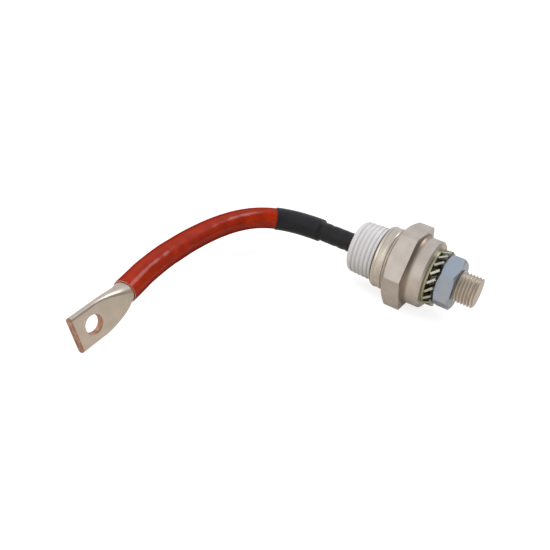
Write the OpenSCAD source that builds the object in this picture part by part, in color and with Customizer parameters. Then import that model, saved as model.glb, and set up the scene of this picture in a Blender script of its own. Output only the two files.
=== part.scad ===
// Stud rectifier diode with a flexible lead, lying on a bench on one hexagon flat, its lead and its lug.
// Millimetres. +X points out along the stud and +Z is up. The origin is on the bench,
// under the middle of the diode's body, the lead left out.

/* [Stud base] */
// Hexagon of the base, across flats
hex_af = 31; // [29:0.25:33]
// Length of the hexagon, from the collar to its top face
hex_h = 9; // [8:0.25:10]
// Height of the hexagon's top chamfer at a corner
hex_chamfer_h = 2.6; // [1.5:0.1:3.5]
// Diameter of the round collar that seats on the heat sink
seat_d = 27.7; // [26:0.1:29]
// Length of the collar
seat_h = 7; // [5:0.25:9]
// Major diameter of the stud's thread
thread_d = 12.7; // [11.5:0.1:13.5]
// Pitch of the stud's thread
thread_pitch = 1.27; // [1:0.01:1.6]
// Length of the stud from the seating face
stud_len = 18.7; // [15:0.1:24]
// Chamfer at the stud's end
stud_end_chamfer = 0.3; // [0.1:0.05:0.6]
// Width of the undercut beside the seating face
undercut_w = 1.4; // [1:0.1:2]
// Height of the chip's seat above the collar's end
chip_seat_h = 2; // [1.5:0.1:2.5]

/* [Case ring] */
// Outer diameter of the steel ring on the base
case_d = 25.7; // [25:0.1:27]
// Bore of the ring and of the pocket below it
case_bore_d = 19.2; // [18.6:0.1:20]
// Depth to which the ring is let into the base
case_let_in = 1.5; // [1:0.1:2]
// Height of the ring's lip above the seal flange
lip_h = 1; // [0.6:0.1:1.6]
// Depth of the marking band turned into the ring
band_depth = 0.15; // [0.05:0.05:0.4]
// Thickness of the seal flange under the ceramic
flange_t = 0.8; // [0.5:0.1:1.2]

/* [Ceramic] */
// Diameter over the ceramic's ribs, at the case ring
ceramic_d = 22.6; // [21.5:0.1:23]
// How much smaller the ribs' diameter is at the lead's end
ceramic_taper = 0.9; // [0:0.1:1.6]
// Length of the ceramic
ceramic_h = 12.7; // [11:0.1:15]
// Thickness of the ceramic's side wall
ceramic_wall = 3.2; // [2.4:0.1:3.6]
// Thickness of the ceramic's end wall
ceramic_end_t = 3; // [2:0.1:4]
// Number of ribs round the ceramic
rib_count = 6; // [4:1:8]
// Depth of the grooves between the ribs
rib_depth = 0.55; // [0.2:0.05:0.9]
// Radius of the ceramic's rounded end
ceramic_round = 2.2; // [1:0.1:3]

/* [Junction] */
// Diameter of the silicon wafer
wafer_d = 12.8; // [11.5:0.1:13.2]
// Thickness of the silicon wafer
wafer_t = 0.4; // [0.3:0.05:0.6]
// How far the lower molybdenum disc reaches beyond the wafer
lower_disc_rim = 0.6; // [0.5:0.05:0.9]
// Thickness of the lower molybdenum disc
lower_disc_t = 1.4; // [1:0.1:2]
// How far the upper molybdenum disc stays inside the wafer's edge
upper_disc_rim = 1; // [0.7:0.05:1.4]
// Thickness of the upper molybdenum disc
upper_disc_t = 0.8; // [0.6:0.1:1.2]
// Thickness of the solder foil under the chip
foil_t = 0.2; // [0.1:0.05:0.3]
// Width of the coating bead round the wafer's edge
coating_w = 0.5; // [0.3:0.05:0.6]

/* [Spring pack] */
// How far the contact pole's flange stays inside the upper disc's edge
pole_rim = 0.2; // [0.1:0.05:0.5]
// Thickness of the contact pole's flange
pole_flange_t = 1.6; // [1.2:0.1:2.2]
// Diameter of the contact pole's stem
pole_stem_d = 6.2; // [6:0.1:6.6]
// Wall of the insulating sleeve round the stem
stem_sleeve_wall = 0.6; // [0.4:0.05:0.7]
// Radial gap between the case and the springs, the plate and the insulating washer
spring_gap = 0.6; // [0.3:0.05:1]
// Thickness of the insulating washer
insulator_t = 1; // [0.6:0.1:1.4]
// Thickness of the pressure plate
plate_t = 1.2; // [0.8:0.1:1.6]
// Thickness of a disc spring
spring_t = 0.7; // [0.5:0.05:0.9]
// Height of a disc spring's cone
spring_cone_h = 0.3; // [0.1:0.05:0.4]
// Thickness of the ring that holds the springs down
retainer_t = 1.4; // [1:0.1:2]

/* [Lead] */
// Diameter of the inner lead, from the pole to the ferrule
inner_lead_d = 4.6; // [4:0.1:4.8]
// Wall of the seal tube in the ceramic's end
seal_tube_wall = 0.6; // [0.4:0.05:0.7]
// Length of the seal tube outside the ceramic
seal_tube_out = 4.5; // [3:0.1:6]
// Wall of the crimp ferrule
ferrule_wall = 0.6; // [0.4:0.05:0.7]
// Length of the crimp ferrule
ferrule_len = 16; // [14:0.5:20]
// Diameter of the stranded lead in its free stretch
rope_d = 6.2; // [6:0.1:7.6]
// Wall of the red sleeve
red_wall = 0.35; // [0.2:0.05:0.6]
// Wall of the black shrink sleeve
black_wall = 0.3; // [0.2:0.05:0.6]

/* [Terminal lug] */
// Diameter of the lug's round barrel
lug_tube_d = 7.8; // [7.4:0.1:8.4]
// Wall of the lug's barrel
lug_wall = 1.55; // [1.2:0.05:1.7]
// Thickness of the lug where it is pressed flat
lug_t = 2.4; // [2.2:0.1:2.8]
// Length of the lug outside the red sleeve
lug_len = 25; // [23:0.5:32]
// Length of the barrel inside the red sleeve
lug_barrel_len = 8; // [6:0.5:10]
// Length over which the tube goes from round to flat
lug_press_len = 15; // [10:0.5:15]
// Diameter of the lug's hole
lug_hole_d = 6.4; // [5.4:0.1:7]
// Distance from the lug's cut end to its hole's middle
lug_hole_from_end = 7.2; // [5.5:0.1:8]
// Lean of the lug's flat, from upright
lug_lean = 17; // [0:1:30]
// Fall of the lug's barrel, from level
lug_drop = 11; // [4:1:14]
// Bend between the lug's barrel and its flat
lug_bend = 12; // [0:1:16]

/* [Mounting hardware] */
// Outer diameter of the flat washer
washer_d = 22; // [19:0.1:24]
// Thickness of the flat washer
washer_t = 1; // [0.8:0.1:2]
// Number of teeth of the lock washer
tooth_count = 19; // [12:1:20]
// Diameter over the lock washer's teeth
lock_d = 22.8; // [21:0.1:24]
// Diameter of the lock washer's plain ring
lock_ring_d = 17; // [16:0.1:18]
// Thickness of the lock washer's sheet
lock_t = 1; // [0.8:0.05:1.2]
// Width of a tooth at its tip, along its slanted edge
tooth_w = 3.8; // [2.8:0.1:4]
// Twist of a tooth out of the washer's plane
tooth_twist = 47; // [30:1:55]
// Hexagon of the nut, across flats
nut_af = 19.05; // [18:0.05:22]
// Thickness of the nut
nut_h = 6.4; // [5:0.1:9]
// Angle by which the nut is turned from having a corner up
nut_turn = 54; // [0:1:59]

/* [Fits] */
// Radial gap of a brazed, crimped or pressed joint
joint_gap = 0.05; // [0.02:0.01:0.08]
// Radial gap between a loose washer and the stud
washer_gap = 0.25; // [0.15:0.05:0.4]
// Radial gap between the ceramic and the ring's lip
seam_gap = 0.4; // [0.2:0.05:0.6]

/* [Hidden] */
eps = 0.01;
round_fn = 96;

// The stud's thread and its undercut
thread_r = thread_d / 2;
pitch_r = thread_r - 0.325 * thread_pitch;
root_r = thread_r - 0.61 * thread_pitch;
nut_sink = thread_r - root_r;
seat_edge = 0.5;
neck_fillet = 0.6;

// The hexagon's chamfer is a cone that runs out at the corners
hex_corner_r = hex_af / 2 / cos(30);
base_top = seat_h + hex_h;

// Heights up the body, from the seating face towards the lead
foil_z = seat_h + chip_seat_h;
lower_z = foil_z + foil_t;
wafer_z = lower_z + lower_disc_t;
upper_z = wafer_z + wafer_t;
pole_z = upper_z + upper_disc_t;
insulator_z = pole_z + pole_flange_t;
plate_z = insulator_z + insulator_t;
spring_z = plate_z + plate_t;
spring_step = spring_t + spring_cone_h;
spring_count = 3;
retainer_z = spring_z + spring_count * spring_step;
flange_z = retainer_z + retainer_t;
ceramic_z = flange_z + flange_t;
case_top = ceramic_z + lip_h;
case_foot = base_top - case_let_in;
ceramic_top = ceramic_z + ceramic_h;

// Radii of the pieces on the axis. The case ring grows with the ceramic, so that its lip keeps a wall.
lip_inner_r = ceramic_d / 2 + seam_gap;
lip_min_wall = 0.9;
case_r = max(case_d / 2, lip_inner_r + lip_min_wall);
hex_top_r = case_r;
wafer_r = wafer_d / 2;
lower_disc_r = wafer_r + lower_disc_rim;
upper_disc_r = wafer_r - upper_disc_rim;
pole_flange_r = upper_disc_r - pole_rim;
case_bore_r = case_bore_d / 2;
case_foot_r = case_bore_r + (case_r - case_bore_r) * 0.55;
pedestal_r = lower_disc_r + 0.2;
pedestal_h = 1;
stem_r = pole_stem_d / 2;
stem_sleeve_in = stem_r + 2 * joint_gap;
stem_sleeve_out = stem_sleeve_in + stem_sleeve_wall;
stem_top = flange_z - 1;
socket_floor = 0.6;
washer_hole_r = stem_sleeve_out + 2 * joint_gap;
spring_r = case_bore_r - spring_gap;
spring_in = washer_hole_r + spring_gap / 2;
inner_lead_r = inner_lead_d / 2;
seal_in = inner_lead_r + joint_gap;
seal_out = seal_in + seal_tube_wall;
seal_flange_r = (seal_out + ceramic_d / 2 - ceramic_wall) / 2;
seal_flange_t = 0.5;
ferrule_in = seal_out + joint_gap;
ferrule_out = ferrule_in + ferrule_wall;

// The nut's chamfer leaves a round face, on which the lock washer's teeth bear
washer_in = thread_r + washer_gap;
nut_corner_r = nut_af / 2 / cos(30);
nut_chamfer_h = 0.8;
nut_face_r = nut_corner_r - nut_chamfer_h / tan(30);

// A tooth's stations: distance beyond the plain ring, share of the twist, share of the widening
lock_ring_r = lock_ring_d / 2;
tooth_root_w = min(2.4, 2 * PI * (lock_ring_r - 0.4) / tooth_count - 0.3);
tooth_stations = [[-0.4, 0, 0], [0.4, 0.6, 0.25], [1.1, 1, 0.8], [lock_d / 2 - lock_ring_r, 1, 1]];
function tooth_half_w(s) = (tooth_root_w + (tooth_w - tooth_root_w) * s[2]) / 2;
function tooth_corner(s) = let (a = tooth_twist * s[1], w = tooth_half_w(s), t = lock_t / 2)
    [w * cos(a) - t * sin(a), w * sin(a) + t * cos(a)];

// Height of a tooth's corner above the washer's middle, where it crosses a face's round rim
tooth_sides = [for (s = tooth_stations) [lock_ring_r + s[0], tooth_corner(s)[0]]];
tooth_tops = [for (s = tooth_stations) [lock_ring_r + s[0], tooth_corner(s)[1]]];
function tooth_top(rim) = lookup(sqrt(rim * rim - pow(lookup(rim, tooth_sides), 2)), tooth_tops);

// The washers and the nut, outwards from the seating face
lock_z = washer_t + tooth_top(washer_d / 2);
nut_z = lock_z + tooth_top(nut_face_r);

// The body lies on a hexagon flat, with its middle over the origin
axis_z = hex_af / 2;
tube_end = ceramic_top + seal_tube_out;
rope_start = seal_tube_out + 4;
seat_x = (ceramic_top + rope_start - stud_len) / 2;
exit_x = seat_x - ceramic_top;

// Swept tubes have this many sides, and what fits inside one is clear of their flats
sides = 12;
flat_share = cos(180 / sides);
red_in = (max(rope_d, lug_tube_d) / 2 + joint_gap) / flat_share;
red_out = red_in + red_wall;
black_in = red_out + joint_gap;
black_out = black_in + black_wall;
black_start_in = (ferrule_out + joint_gap) / flat_share;
black_start_out = black_start_in + black_wall;
rope_crimped_r = ferrule_in - joint_gap;
rope_lug_r = lug_tube_d / 2 - lug_wall - joint_gap;

// The lug is pressed from its own barrel, so its flat holds the same metal. Its frame has x out of
// its near face, y across its flat and z from the sleeve to its cut end.
lug_tube_r = lug_tube_d / 2;
lug_metal = PI * (lug_tube_d - lug_wall) * lug_wall;
lug_w = lug_t + (lug_metal - PI * lug_t * lug_t / 4) / lug_t;
lug_yaw = 10;
lug_sides = 24;
lug_sections = 10;
lug_hinge = lug_press_len / 3;

// Sections go from the round tube to the flat as slots of like metal, with their near side flush,
// and the flat is bent back from the barrel round the hinge.
function eased(t) = t * t * (3 - 2 * t);
function press_share(z) = pow(eased(z / lug_press_len), 0.6);
function lug_section(share, z) = let (r = lug_tube_r + share * (lug_t / 2 - lug_tube_r),
    reach = share * (lug_w - lug_t) / 2)
    [for (j = [0 : lug_sides - 1]) let (a = 360 * (j + 0.5) / lug_sides)
        bent([lug_tube_r - r + r * cos(a), r * sin(a) + (sin(a) > 0 ? reach : -reach), z])];
function turned(p) = [p[0] * cos(lug_bend) - (p[2] - lug_hinge) * sin(lug_bend), p[1],
    lug_hinge + p[0] * sin(lug_bend) + (p[2] - lug_hinge) * cos(lug_bend)];
function bent(p) = let (w = eased(min(max(p[2] / (2 * lug_hinge), 0), 1)))
    (1 - w) * p + w * turned(p);
lug_points = concat(lug_section(0, -lug_barrel_len),
    [for (i = [0 : lug_sections]) let (z = i * lug_press_len / lug_sections)
        each lug_section(press_share(z), z)],
    lug_section(1, lug_len));

// The lug stands on the bench on the lower corner of its cut end
function lug_rise(p) = cos(lug_drop) * (p[0] * sin(lug_lean) + p[1] * cos(lug_lean))
    - sin(lug_drop) * p[2];
mouth_z = -min([for (p = lug_points) lug_rise(p)]);

// The lead's route. Each point has its run along -X past the ferrule, its way towards -Y,
// and its share of the climb from the height of the lug's mouth to the stud's axis.
ferrule_start = 1;
ferrule_run = ferrule_start + ferrule_len + 0.5;
mouth_run = 23.8;
mouth_side = 92.3;
route = [[-ferrule_run, 0, 1], [rope_start - ferrule_run, 0, 1], [-1.5, 0, 1], [0, 0, 1], [2, 0, 1],
    [6.5, 0.6, 1], [11, 1.6, 1], [15.5, 3.3, 1], [19.5, 5.8, 1], [23, 9.2, 1], [26, 13.8, 1],
    [28.2, 19.8, 1], [29.5, 26.3, 1], [30.1, 33, 1], [30.2, 40, 1], [29.9, 47, 1], [29.3, 54, 1],
    [28.4, 60.5, 1], [27.6, 67, 0.97], [26.8, 73.2, 0.84]];
ferrule_point = 3;
black_end_point = 8;
steps = 2;

function lifted(run, side, z) = [exit_x - ferrule_run - run, -side, z];
mouth = lifted(mouth_run, mouth_side, mouth_z);
barrel_way = [cos(lug_drop) * sin(lug_yaw), -cos(lug_drop) * cos(lug_yaw), -sin(lug_drop)];
way = concat([for (p = route) lifted(p[0], p[1], mouth_z + p[2] * (axis_z - mouth_z))],
    [for (back = [lug_barrel_len + 4, lug_barrel_len, 1, 0]) mouth - back * barrel_way]);
last_point = len(way) - 1;

// A smooth curve through the route's points, with its direction at each ring
function unit(v) = v / norm(v);
function slope(i) = (way[min(i + 1, last_point)] - way[max(i - 1, 0)])
    / (i == 0 || i == last_point ? 1 : 2);
function blend_place(i, t) =
    (2 * pow(t, 3) - 3 * t * t + 1) * way[i] + (pow(t, 3) - 2 * t * t + t) * slope(i)
    + (3 * t * t - 2 * pow(t, 3)) * way[i + 1] + (pow(t, 3) - t * t) * slope(i + 1);
function place(k) = k % steps == 0 ? way[k / steps]
    : blend_place(floor(k / steps), (k % steps) / steps);
function heading(k) = let (last = last_point * steps)
    unit(place(min(k + 1, last)) - place(max(k - 1, 0)));
function ring(k, r) = let (d = heading(k), side = unit(cross(d, [0, 0, 1])), up = cross(side, d))
    [for (j = [0 : sides - 1]) let (a = 360 * j / sides)
        place(k) + r * cos(a) * side + r * sin(a) * up];

// Radii along the lead, by ring
ferrule_ring = ferrule_point * steps;
black_end_ring = black_end_point * steps;
last_ring = last_point * steps;
rope_last = last_ring - steps;
function rope_r(k) = k <= ferrule_ring ? rope_crimped_r
    : k >= rope_last - steps ? rope_lug_r : rope_d / 2;
function black_r(k, start_r, end_r) = k < ferrule_ring ? start_r : end_r;

// Faces between rings of points, seen from outside
function skin(first, rings, turn) = [for (i = [0 : rings - 2], j = [0 : sides - 1])
    let (a = first + i * sides + j, b = first + i * sides + (j + 1) % sides)
    for (f = [[a, b, b + sides], [a, b + sides, a + sides]]) turn ? [f[2], f[1], f[0]] : f];
function cap(first, turn) = [[for (j = [0 : sides - 1]) first + (turn ? sides - 1 - j : j)]];
function annulus(outer, inner, turn) = [for (j = [0 : sides - 1])
    let (a = outer + j, b = outer + (j + 1) % sides, c = inner + j, d = inner + (j + 1) % sides)
    for (f = [[a, c, d], [a, d, b]]) turn ? [f[2], f[1], f[0]] : f];

// The body's own frame: its z runs from the seating face towards the lead, and its x is up
module on_axis() {
    translate([seat_x, 0, axis_z]) rotate([0, -90, 0]) children();
}

module revolved(profile) {
    rotate_extrude($fn = round_fn) polygon(profile);
}

module washer_shape(inner_r, outer_r, low, high) {
    revolved([[inner_r, low], [outer_r, low], [outer_r, high], [inner_r, high]]);
}

module disc(r, low, high) {
    translate([0, 0, low]) cylinder(r = r, h = high - low, $fn = round_fn);
}

// Quarter round between two radii, as profile points
function quarter(centre, r, from, to, n = 6) =
    [for (i = [0 : n]) let (a = from + (to - from) * i / n) centre + r * [cos(a), sin(a)]];

// Nickel-plated copper base: stud, collar and hexagon in one, with the chip's pocket
module stud_base() {
    color([0.72, 0.67, 0.61]) on_axis() difference() {
        union() {
            revolved(concat(
                [[0, -stud_len], [thread_r - stud_end_chamfer, -stud_len],
                [thread_r, -stud_len + stud_end_chamfer],
                [thread_r, -nut_z - nut_h], [pitch_r, -nut_z - nut_h], [pitch_r, -nut_z],
                [thread_r, -nut_z], [thread_r, -undercut_w], [root_r, -undercut_w], [root_r, 0],
                [seat_d / 2 - seat_edge, 0], [seat_d / 2, seat_edge]],
                quarter([seat_d / 2 + neck_fillet, seat_h - neck_fillet], neck_fillet, 180, 90),
                [[seat_d / 2 + neck_fillet, seat_h + 1], [0, seat_h + 1]]));
            intersection() {
                translate([0, 0, seat_h]) rotate([0, 0, 30])
                    cylinder(r = hex_corner_r, h = hex_h, $fn = 6);
                revolved([[0, seat_h], [hex_corner_r + 1, seat_h],
                    [hex_corner_r + 1, base_top - hex_chamfer_h
                        * (hex_corner_r + 1 - hex_top_r) / (hex_corner_r - hex_top_r)],
                    [hex_top_r, base_top], [0, base_top]]);
            }
        }
        revolved([[0, foil_z], [pedestal_r, foil_z], [pedestal_r, foil_z - pedestal_h],
            [case_bore_r, foil_z - pedestal_h], [case_bore_r, case_foot],
            [case_foot_r + joint_gap, case_foot], [case_foot_r + joint_gap, base_top + 1],
            [0, base_top + 1]]);
    }
}

// Nickel-plated steel ring that carries the springs and the ceramic
module case_ring() {
    lip_round = min(1, case_r - lip_inner_r - 0.1, lip_h);
    groove_r = case_r - 0.5;
    band_low = base_top + 1.9;
    band_high = case_top - lip_round - 0.5;
    color([0.76, 0.72, 0.63]) on_axis() revolved(concat(
        [[case_bore_r, case_foot], [case_foot_r, case_foot], [case_foot_r, base_top],
        [groove_r, base_top], [groove_r, base_top + 0.6], [case_r, base_top + 1.1],
        [case_r, band_low], [case_r - band_depth, band_low + band_depth],
        [case_r - band_depth, band_high - band_depth], [case_r, band_high]],
        quarter([case_r - lip_round, case_top - lip_round], lip_round, 0, 90),
        [[lip_inner_r, case_top], [lip_inner_r, flange_z], [case_bore_r, flange_z]]));
}

module seal_flange() {
    color([0.7, 0.68, 0.62]) on_axis()
        washer_shape(ceramic_d / 2 - ceramic_wall, lip_inner_r - joint_gap, flange_z, ceramic_z);
}

// The ribs are rounded, with narrow grooves, and get a little smaller towards the lead
rib_points = 8;
rib_start = ceramic_z + lip_h - 0.2;
rib_pitch = (ceramic_top - ceramic_round * 0.4 - rib_start) / rib_count;
function ceramic_r(z) = ceramic_d / 2 - ceramic_taper / 2 * (z - ceramic_z) / ceramic_h;
function rib_r(z) = let (u = 2 * ((z - rib_start) / rib_pitch % 1) - 1)
    ceramic_r(z) - rib_depth * pow(abs(u), 2.4);
rib_last_z = ceramic_top - ceramic_round;

module ceramic_insulator() {
    bore_r = ceramic_d / 2 - ceramic_wall;
    bore_top = ceramic_top - ceramic_end_t;
    end_r = rib_r(rib_last_z);
    color([0.93, 0.93, 0.91]) on_axis() revolved(concat(
        [[bore_r, ceramic_z], [ceramic_r(rib_start) - rib_depth, ceramic_z]],
        [for (z = [rib_start : rib_pitch / rib_points : rib_last_z - eps]) [rib_r(z), z]],
        quarter([end_r - ceramic_round, rib_last_z], ceramic_round, 0, 90),
        [[seal_out + joint_gap, ceramic_top], [seal_out + joint_gap, bore_top],
        [bore_r, bore_top]]));
}

// Tube with a flange under the ceramic's end wall, brazed in
module seal_tube() {
    low = ceramic_top - ceramic_end_t - seal_flange_t;
    color([0.78, 0.72, 0.55]) on_axis() revolved([[seal_in, low], [seal_flange_r, low],
        [seal_flange_r, low + seal_flange_t], [seal_out, low + seal_flange_t],
        [seal_out, tube_end], [seal_in, tube_end]]);
}

module solder_foil() {
    color([0.85, 0.86, 0.87]) on_axis() disc(lower_disc_r, foil_z, lower_z);
}

module lower_disc() {
    color([0.6, 0.6, 0.62]) on_axis() disc(lower_disc_r, lower_z, wafer_z);
}

module silicon_wafer() {
    color([0.25, 0.27, 0.3]) on_axis() disc(wafer_r, wafer_z, upper_z);
}

module upper_disc() {
    color([0.6, 0.6, 0.62]) on_axis() disc(upper_disc_r, upper_z, pole_z);
}

// Bead of silicone rubber over the wafer's edge
module junction_coating() {
    rim = wafer_r + coating_w;
    top = upper_z + upper_disc_t * 0.6;
    color([0.85, 0.8, 0.7]) on_axis() revolved([[wafer_r, wafer_z], [rim, wafer_z], [rim, upper_z],
        [rim - coating_w / 2, top], [upper_disc_r, top], [upper_disc_r, upper_z], [wafer_r, upper_z]]);
}

// Copper pole that presses on the chip, with a socket for the inner lead
module contact_pole() {
    color([0.8, 0.48, 0.33]) on_axis() revolved([[0, pole_z], [pole_flange_r, pole_z],
        [pole_flange_r, insulator_z], [stem_r, insulator_z], [stem_r, stem_top],
        [inner_lead_r + joint_gap, stem_top],
        [inner_lead_r + joint_gap, insulator_z + socket_floor], [0, insulator_z + socket_floor]]);
}

module insulating_washer() {
    color([0.82, 0.78, 0.68]) on_axis()
        washer_shape(washer_hole_r, spring_r, insulator_z, plate_z);
}

module insulating_sleeve() {
    color([0.9, 0.88, 0.8]) on_axis()
        washer_shape(stem_sleeve_in, stem_sleeve_out, insulator_z, stem_top);
}

module pressure_plate() {
    color([0.55, 0.56, 0.58]) on_axis() washer_shape(washer_hole_r, spring_r, plate_z, spring_z);
}

// A disc spring, its cone pointing up or down in turn
module disc_spring(index) {
    low = spring_z + index * spring_step;
    inner_low = index % 2 == 0 ? low + spring_cone_h : low;
    outer_low = index % 2 == 0 ? low : low + spring_cone_h;
    color([0.45, 0.46, 0.5]) on_axis() revolved([[spring_in, inner_low], [spring_r, outer_low],
        [spring_r, outer_low + spring_t], [spring_in, inner_low + spring_t]]);
}

module disc_spring_1() {
    disc_spring(0);
}

module disc_spring_2() {
    disc_spring(1);
}

module disc_spring_3() {
    disc_spring(2);
}

module spring_retainer() {
    color([0.6, 0.58, 0.54]) on_axis()
        washer_shape(washer_hole_r, case_bore_r - joint_gap, retainer_z, flange_z);
}

module inner_lead() {
    color([0.83, 0.5, 0.34]) on_axis()
        disc(inner_lead_r, insulator_z + socket_floor, ceramic_top + rope_start);
}

// Copper ferrule that joins the inner lead to the stranded one, crimped in two places
module crimp_ferrule() {
    low = ceramic_top + ferrule_start;
    high = low + ferrule_len;
    crimp = 0.15;
    crimp_w = 3;
    first = low + ferrule_len * 0.35;
    second = low + ferrule_len * 0.65;
    color([0.72, 0.66, 0.58]) on_axis() revolved([[ferrule_in, low], [ferrule_out, low],
        [ferrule_out, first - crimp_w / 2], [ferrule_out - crimp, first],
        [ferrule_out, first + crimp_w / 2], [ferrule_out, second - crimp_w / 2],
        [ferrule_out - crimp, second], [ferrule_out, second + crimp_w / 2],
        [ferrule_out, high], [ferrule_in, high]]);
}

// The stranded lead as one tube, pressed thinner in the ferrule and in the lug's barrel
module stranded_lead() {
    first = steps;
    count = rope_last - first + 1;
    color([0.8, 0.52, 0.38]) polyhedron(
        points = [for (k = [first : rope_last]) each ring(k, rope_r(k))],
        faces = concat(skin(0, count, false), cap(0, true), cap((count - 1) * sides, false)));
}

// A sleeve along the lead, open at both ends
module sleeve(first, last, outer, inner) {
    count = last - first + 1;
    half = count * sides;
    polyhedron(
        points = concat([for (i = [0 : count - 1]) each ring(first + i, outer[i])],
            [for (i = [0 : count - 1]) each ring(first + i, inner[i])]),
        faces = concat(skin(0, count, false), skin(half, count, true),
            annulus(0, half, false), annulus(half - sides, 2 * half - sides, true)));
}

module black_sleeve() {
    color([0.13, 0.13, 0.14]) sleeve(0, black_end_ring,
        [for (k = [0 : black_end_ring]) black_r(k, black_start_out, black_out)],
        [for (k = [0 : black_end_ring]) black_r(k, black_start_in, black_in)]);
}

module red_sleeve() {
    color([0.75, 0.14, 0.06]) sleeve(ferrule_ring, last_ring,
        [for (k = [ferrule_ring : last_ring]) red_out],
        [for (k = [ferrule_ring : last_ring]) red_in]);
}

module on_lug() {
    translate(mouth) rotate([90 + lug_drop, 0, lug_yaw]) rotate([0, 0, lug_lean]) children();
}

// The flat's own frame, with x from the middle of its thickness
module on_flat() {
    translate([0, 0, lug_hinge]) rotate([0, -lug_bend, 0])
        translate([lug_tube_r - lug_t / 2, 0, -lug_hinge]) children();
}

module pressed_tube() {
    count = lug_sections + 3;
    last = (count - 1) * lug_sides;
    polyhedron(points = lug_points, faces = concat(
        [for (i = [0 : count - 2], j = [0 : lug_sides - 1])
            let (a = i * lug_sides + j, b = i * lug_sides + (j + 1) % lug_sides)
            for (f = [[a, a + lug_sides, b + lug_sides], [a, b + lug_sides, b]]) f],
        [[for (j = [0 : lug_sides - 1]) j]],
        [[for (j = [0 : lug_sides - 1]) last + lug_sides - 1 - j]]));
}

// Tinned copper tube, pressed flat outside its barrel, bent, punched and cut square
module terminal_lug() {
    seam = 0.15;
    seam_depth = 1.2;
    color([0.74, 0.71, 0.66]) on_lug() difference() {
        pressed_tube();
        translate([0, 0, -lug_barrel_len - 1])
            cylinder(r = lug_tube_r - lug_wall, h = lug_barrel_len + 1, $fn = round_fn);
        on_flat() {
            translate([0, 0, lug_len - lug_hole_from_end]) rotate([0, 90, 0])
                cylinder(d = lug_hole_d, h = lug_tube_d, center = true, $fn = round_fn);
            translate([-seam / 2, lug_t - lug_w / 2, lug_len - seam_depth])
                cube([seam, lug_w - 2 * lug_t, seam_depth + 1]);
        }
    }
}

module flat_washer() {
    color([0.8, 0.77, 0.6]) on_axis() washer_shape(washer_in, washer_d / 2, -washer_t, 0);
}

// External-tooth lock washer: each tooth is a blade that twists from its root to its tip
function tooth_section(s) = let (a = -tooth_twist * s[1], w = tooth_half_w(s), t = lock_t / 2)
    [for (c = [[-w, -t], [w, -t], [w, t], [-w, t]])
        [lock_ring_r + s[0], c[0] * cos(a) - c[1] * sin(a), c[0] * sin(a) + c[1] * cos(a)]];

module tooth() {
    last = len(tooth_stations) - 1;
    polyhedron(
        points = [for (s = tooth_stations) each tooth_section(s)],
        faces = concat([[0, 1, 2, 3]], [[4 * last + 3, 4 * last + 2, 4 * last + 1, 4 * last]],
            [for (i = [0 : last - 1], j = [0 : 3])
                let (a = 4 * i + j, b = 4 * i + (j + 1) % 4)
                for (f = [[a, a + 4, b + 4], [a, b + 4, b]]) f]));
}

module lock_washer() {
    color([0.78, 0.77, 0.68]) on_axis() translate([0, 0, -lock_z]) {
        washer_shape(washer_in, lock_ring_r, -lock_t / 2, lock_t / 2);
        for (i = [0 : tooth_count - 1]) rotate([0, 0, 360 * i / tooth_count]) tooth();
    }
}

// Zinc-plated nut, chamfered on both faces, its thread drawn plain at the pitch diameter
module hex_nut() {
    far = -nut_z - nut_h;
    color([0.66, 0.71, 0.78]) on_axis() difference() {
        intersection() {
            translate([0, 0, far]) rotate([0, 0, -nut_turn])
                cylinder(r = nut_corner_r, h = nut_h, $fn = 6);
            revolved([[0, far], [nut_face_r, far], [nut_corner_r + eps, far + nut_chamfer_h],
                [nut_corner_r + eps, -nut_z - nut_chamfer_h], [nut_face_r, -nut_z], [0, -nut_z]]);
        }
        translate([0, 0, far - 1]) cylinder(r = pitch_r + joint_gap / 2, h = nut_h + 2, $fn = round_fn);
        revolved([[0, far - eps], [thread_r + 0.1, far - eps], [root_r, far + nut_sink],
            [0, far + nut_sink]]);
    }
}

stud_base();
case_ring();
seal_flange();
ceramic_insulator();
seal_tube();
solder_foil();
lower_disc();
silicon_wafer();
upper_disc();
junction_coating();
contact_pole();
insulating_washer();
insulating_sleeve();
pressure_plate();
disc_spring_1();
disc_spring_2();
disc_spring_3();
spring_retainer();
inner_lead();
crimp_ferrule();
stranded_lead();
black_sleeve();
red_sleeve();
terminal_lug();
flat_washer();
lock_washer();
hex_nut();
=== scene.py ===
"""The looks of a stud rectifier diode on its CAD frame, for Blender 4.5. Pieces are sized in millimetres."""
import logging
import math
from dataclasses import dataclass, field
from enum import Enum
from typing import Any, Callable, Iterable, Sequence

import bmesh
import bpy
import numpy as np
from mathutils import Matrix, Vector


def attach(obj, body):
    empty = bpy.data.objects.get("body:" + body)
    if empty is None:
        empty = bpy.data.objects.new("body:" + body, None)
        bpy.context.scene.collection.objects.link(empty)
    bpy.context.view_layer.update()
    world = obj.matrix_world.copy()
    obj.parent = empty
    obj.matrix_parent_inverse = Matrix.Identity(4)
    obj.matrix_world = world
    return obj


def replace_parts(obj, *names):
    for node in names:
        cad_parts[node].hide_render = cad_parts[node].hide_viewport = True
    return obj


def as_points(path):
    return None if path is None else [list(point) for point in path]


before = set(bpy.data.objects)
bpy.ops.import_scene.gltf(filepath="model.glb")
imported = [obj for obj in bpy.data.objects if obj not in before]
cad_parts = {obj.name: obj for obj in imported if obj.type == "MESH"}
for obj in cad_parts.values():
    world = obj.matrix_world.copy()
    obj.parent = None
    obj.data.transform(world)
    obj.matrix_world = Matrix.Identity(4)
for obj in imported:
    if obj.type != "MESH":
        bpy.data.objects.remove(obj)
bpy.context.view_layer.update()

MM = 0.001
TURN = 2 * math.pi
HALF_SIDE = math.radians(30)
Pair = tuple[float, float]
Triple = tuple[float, float, float]
Node = bpy.types.Node
Socket = bpy.types.NodeSocket
Piece = bpy.types.Object
Curve = Callable[[float], float]
log = logging.getLogger("diode")


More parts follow.
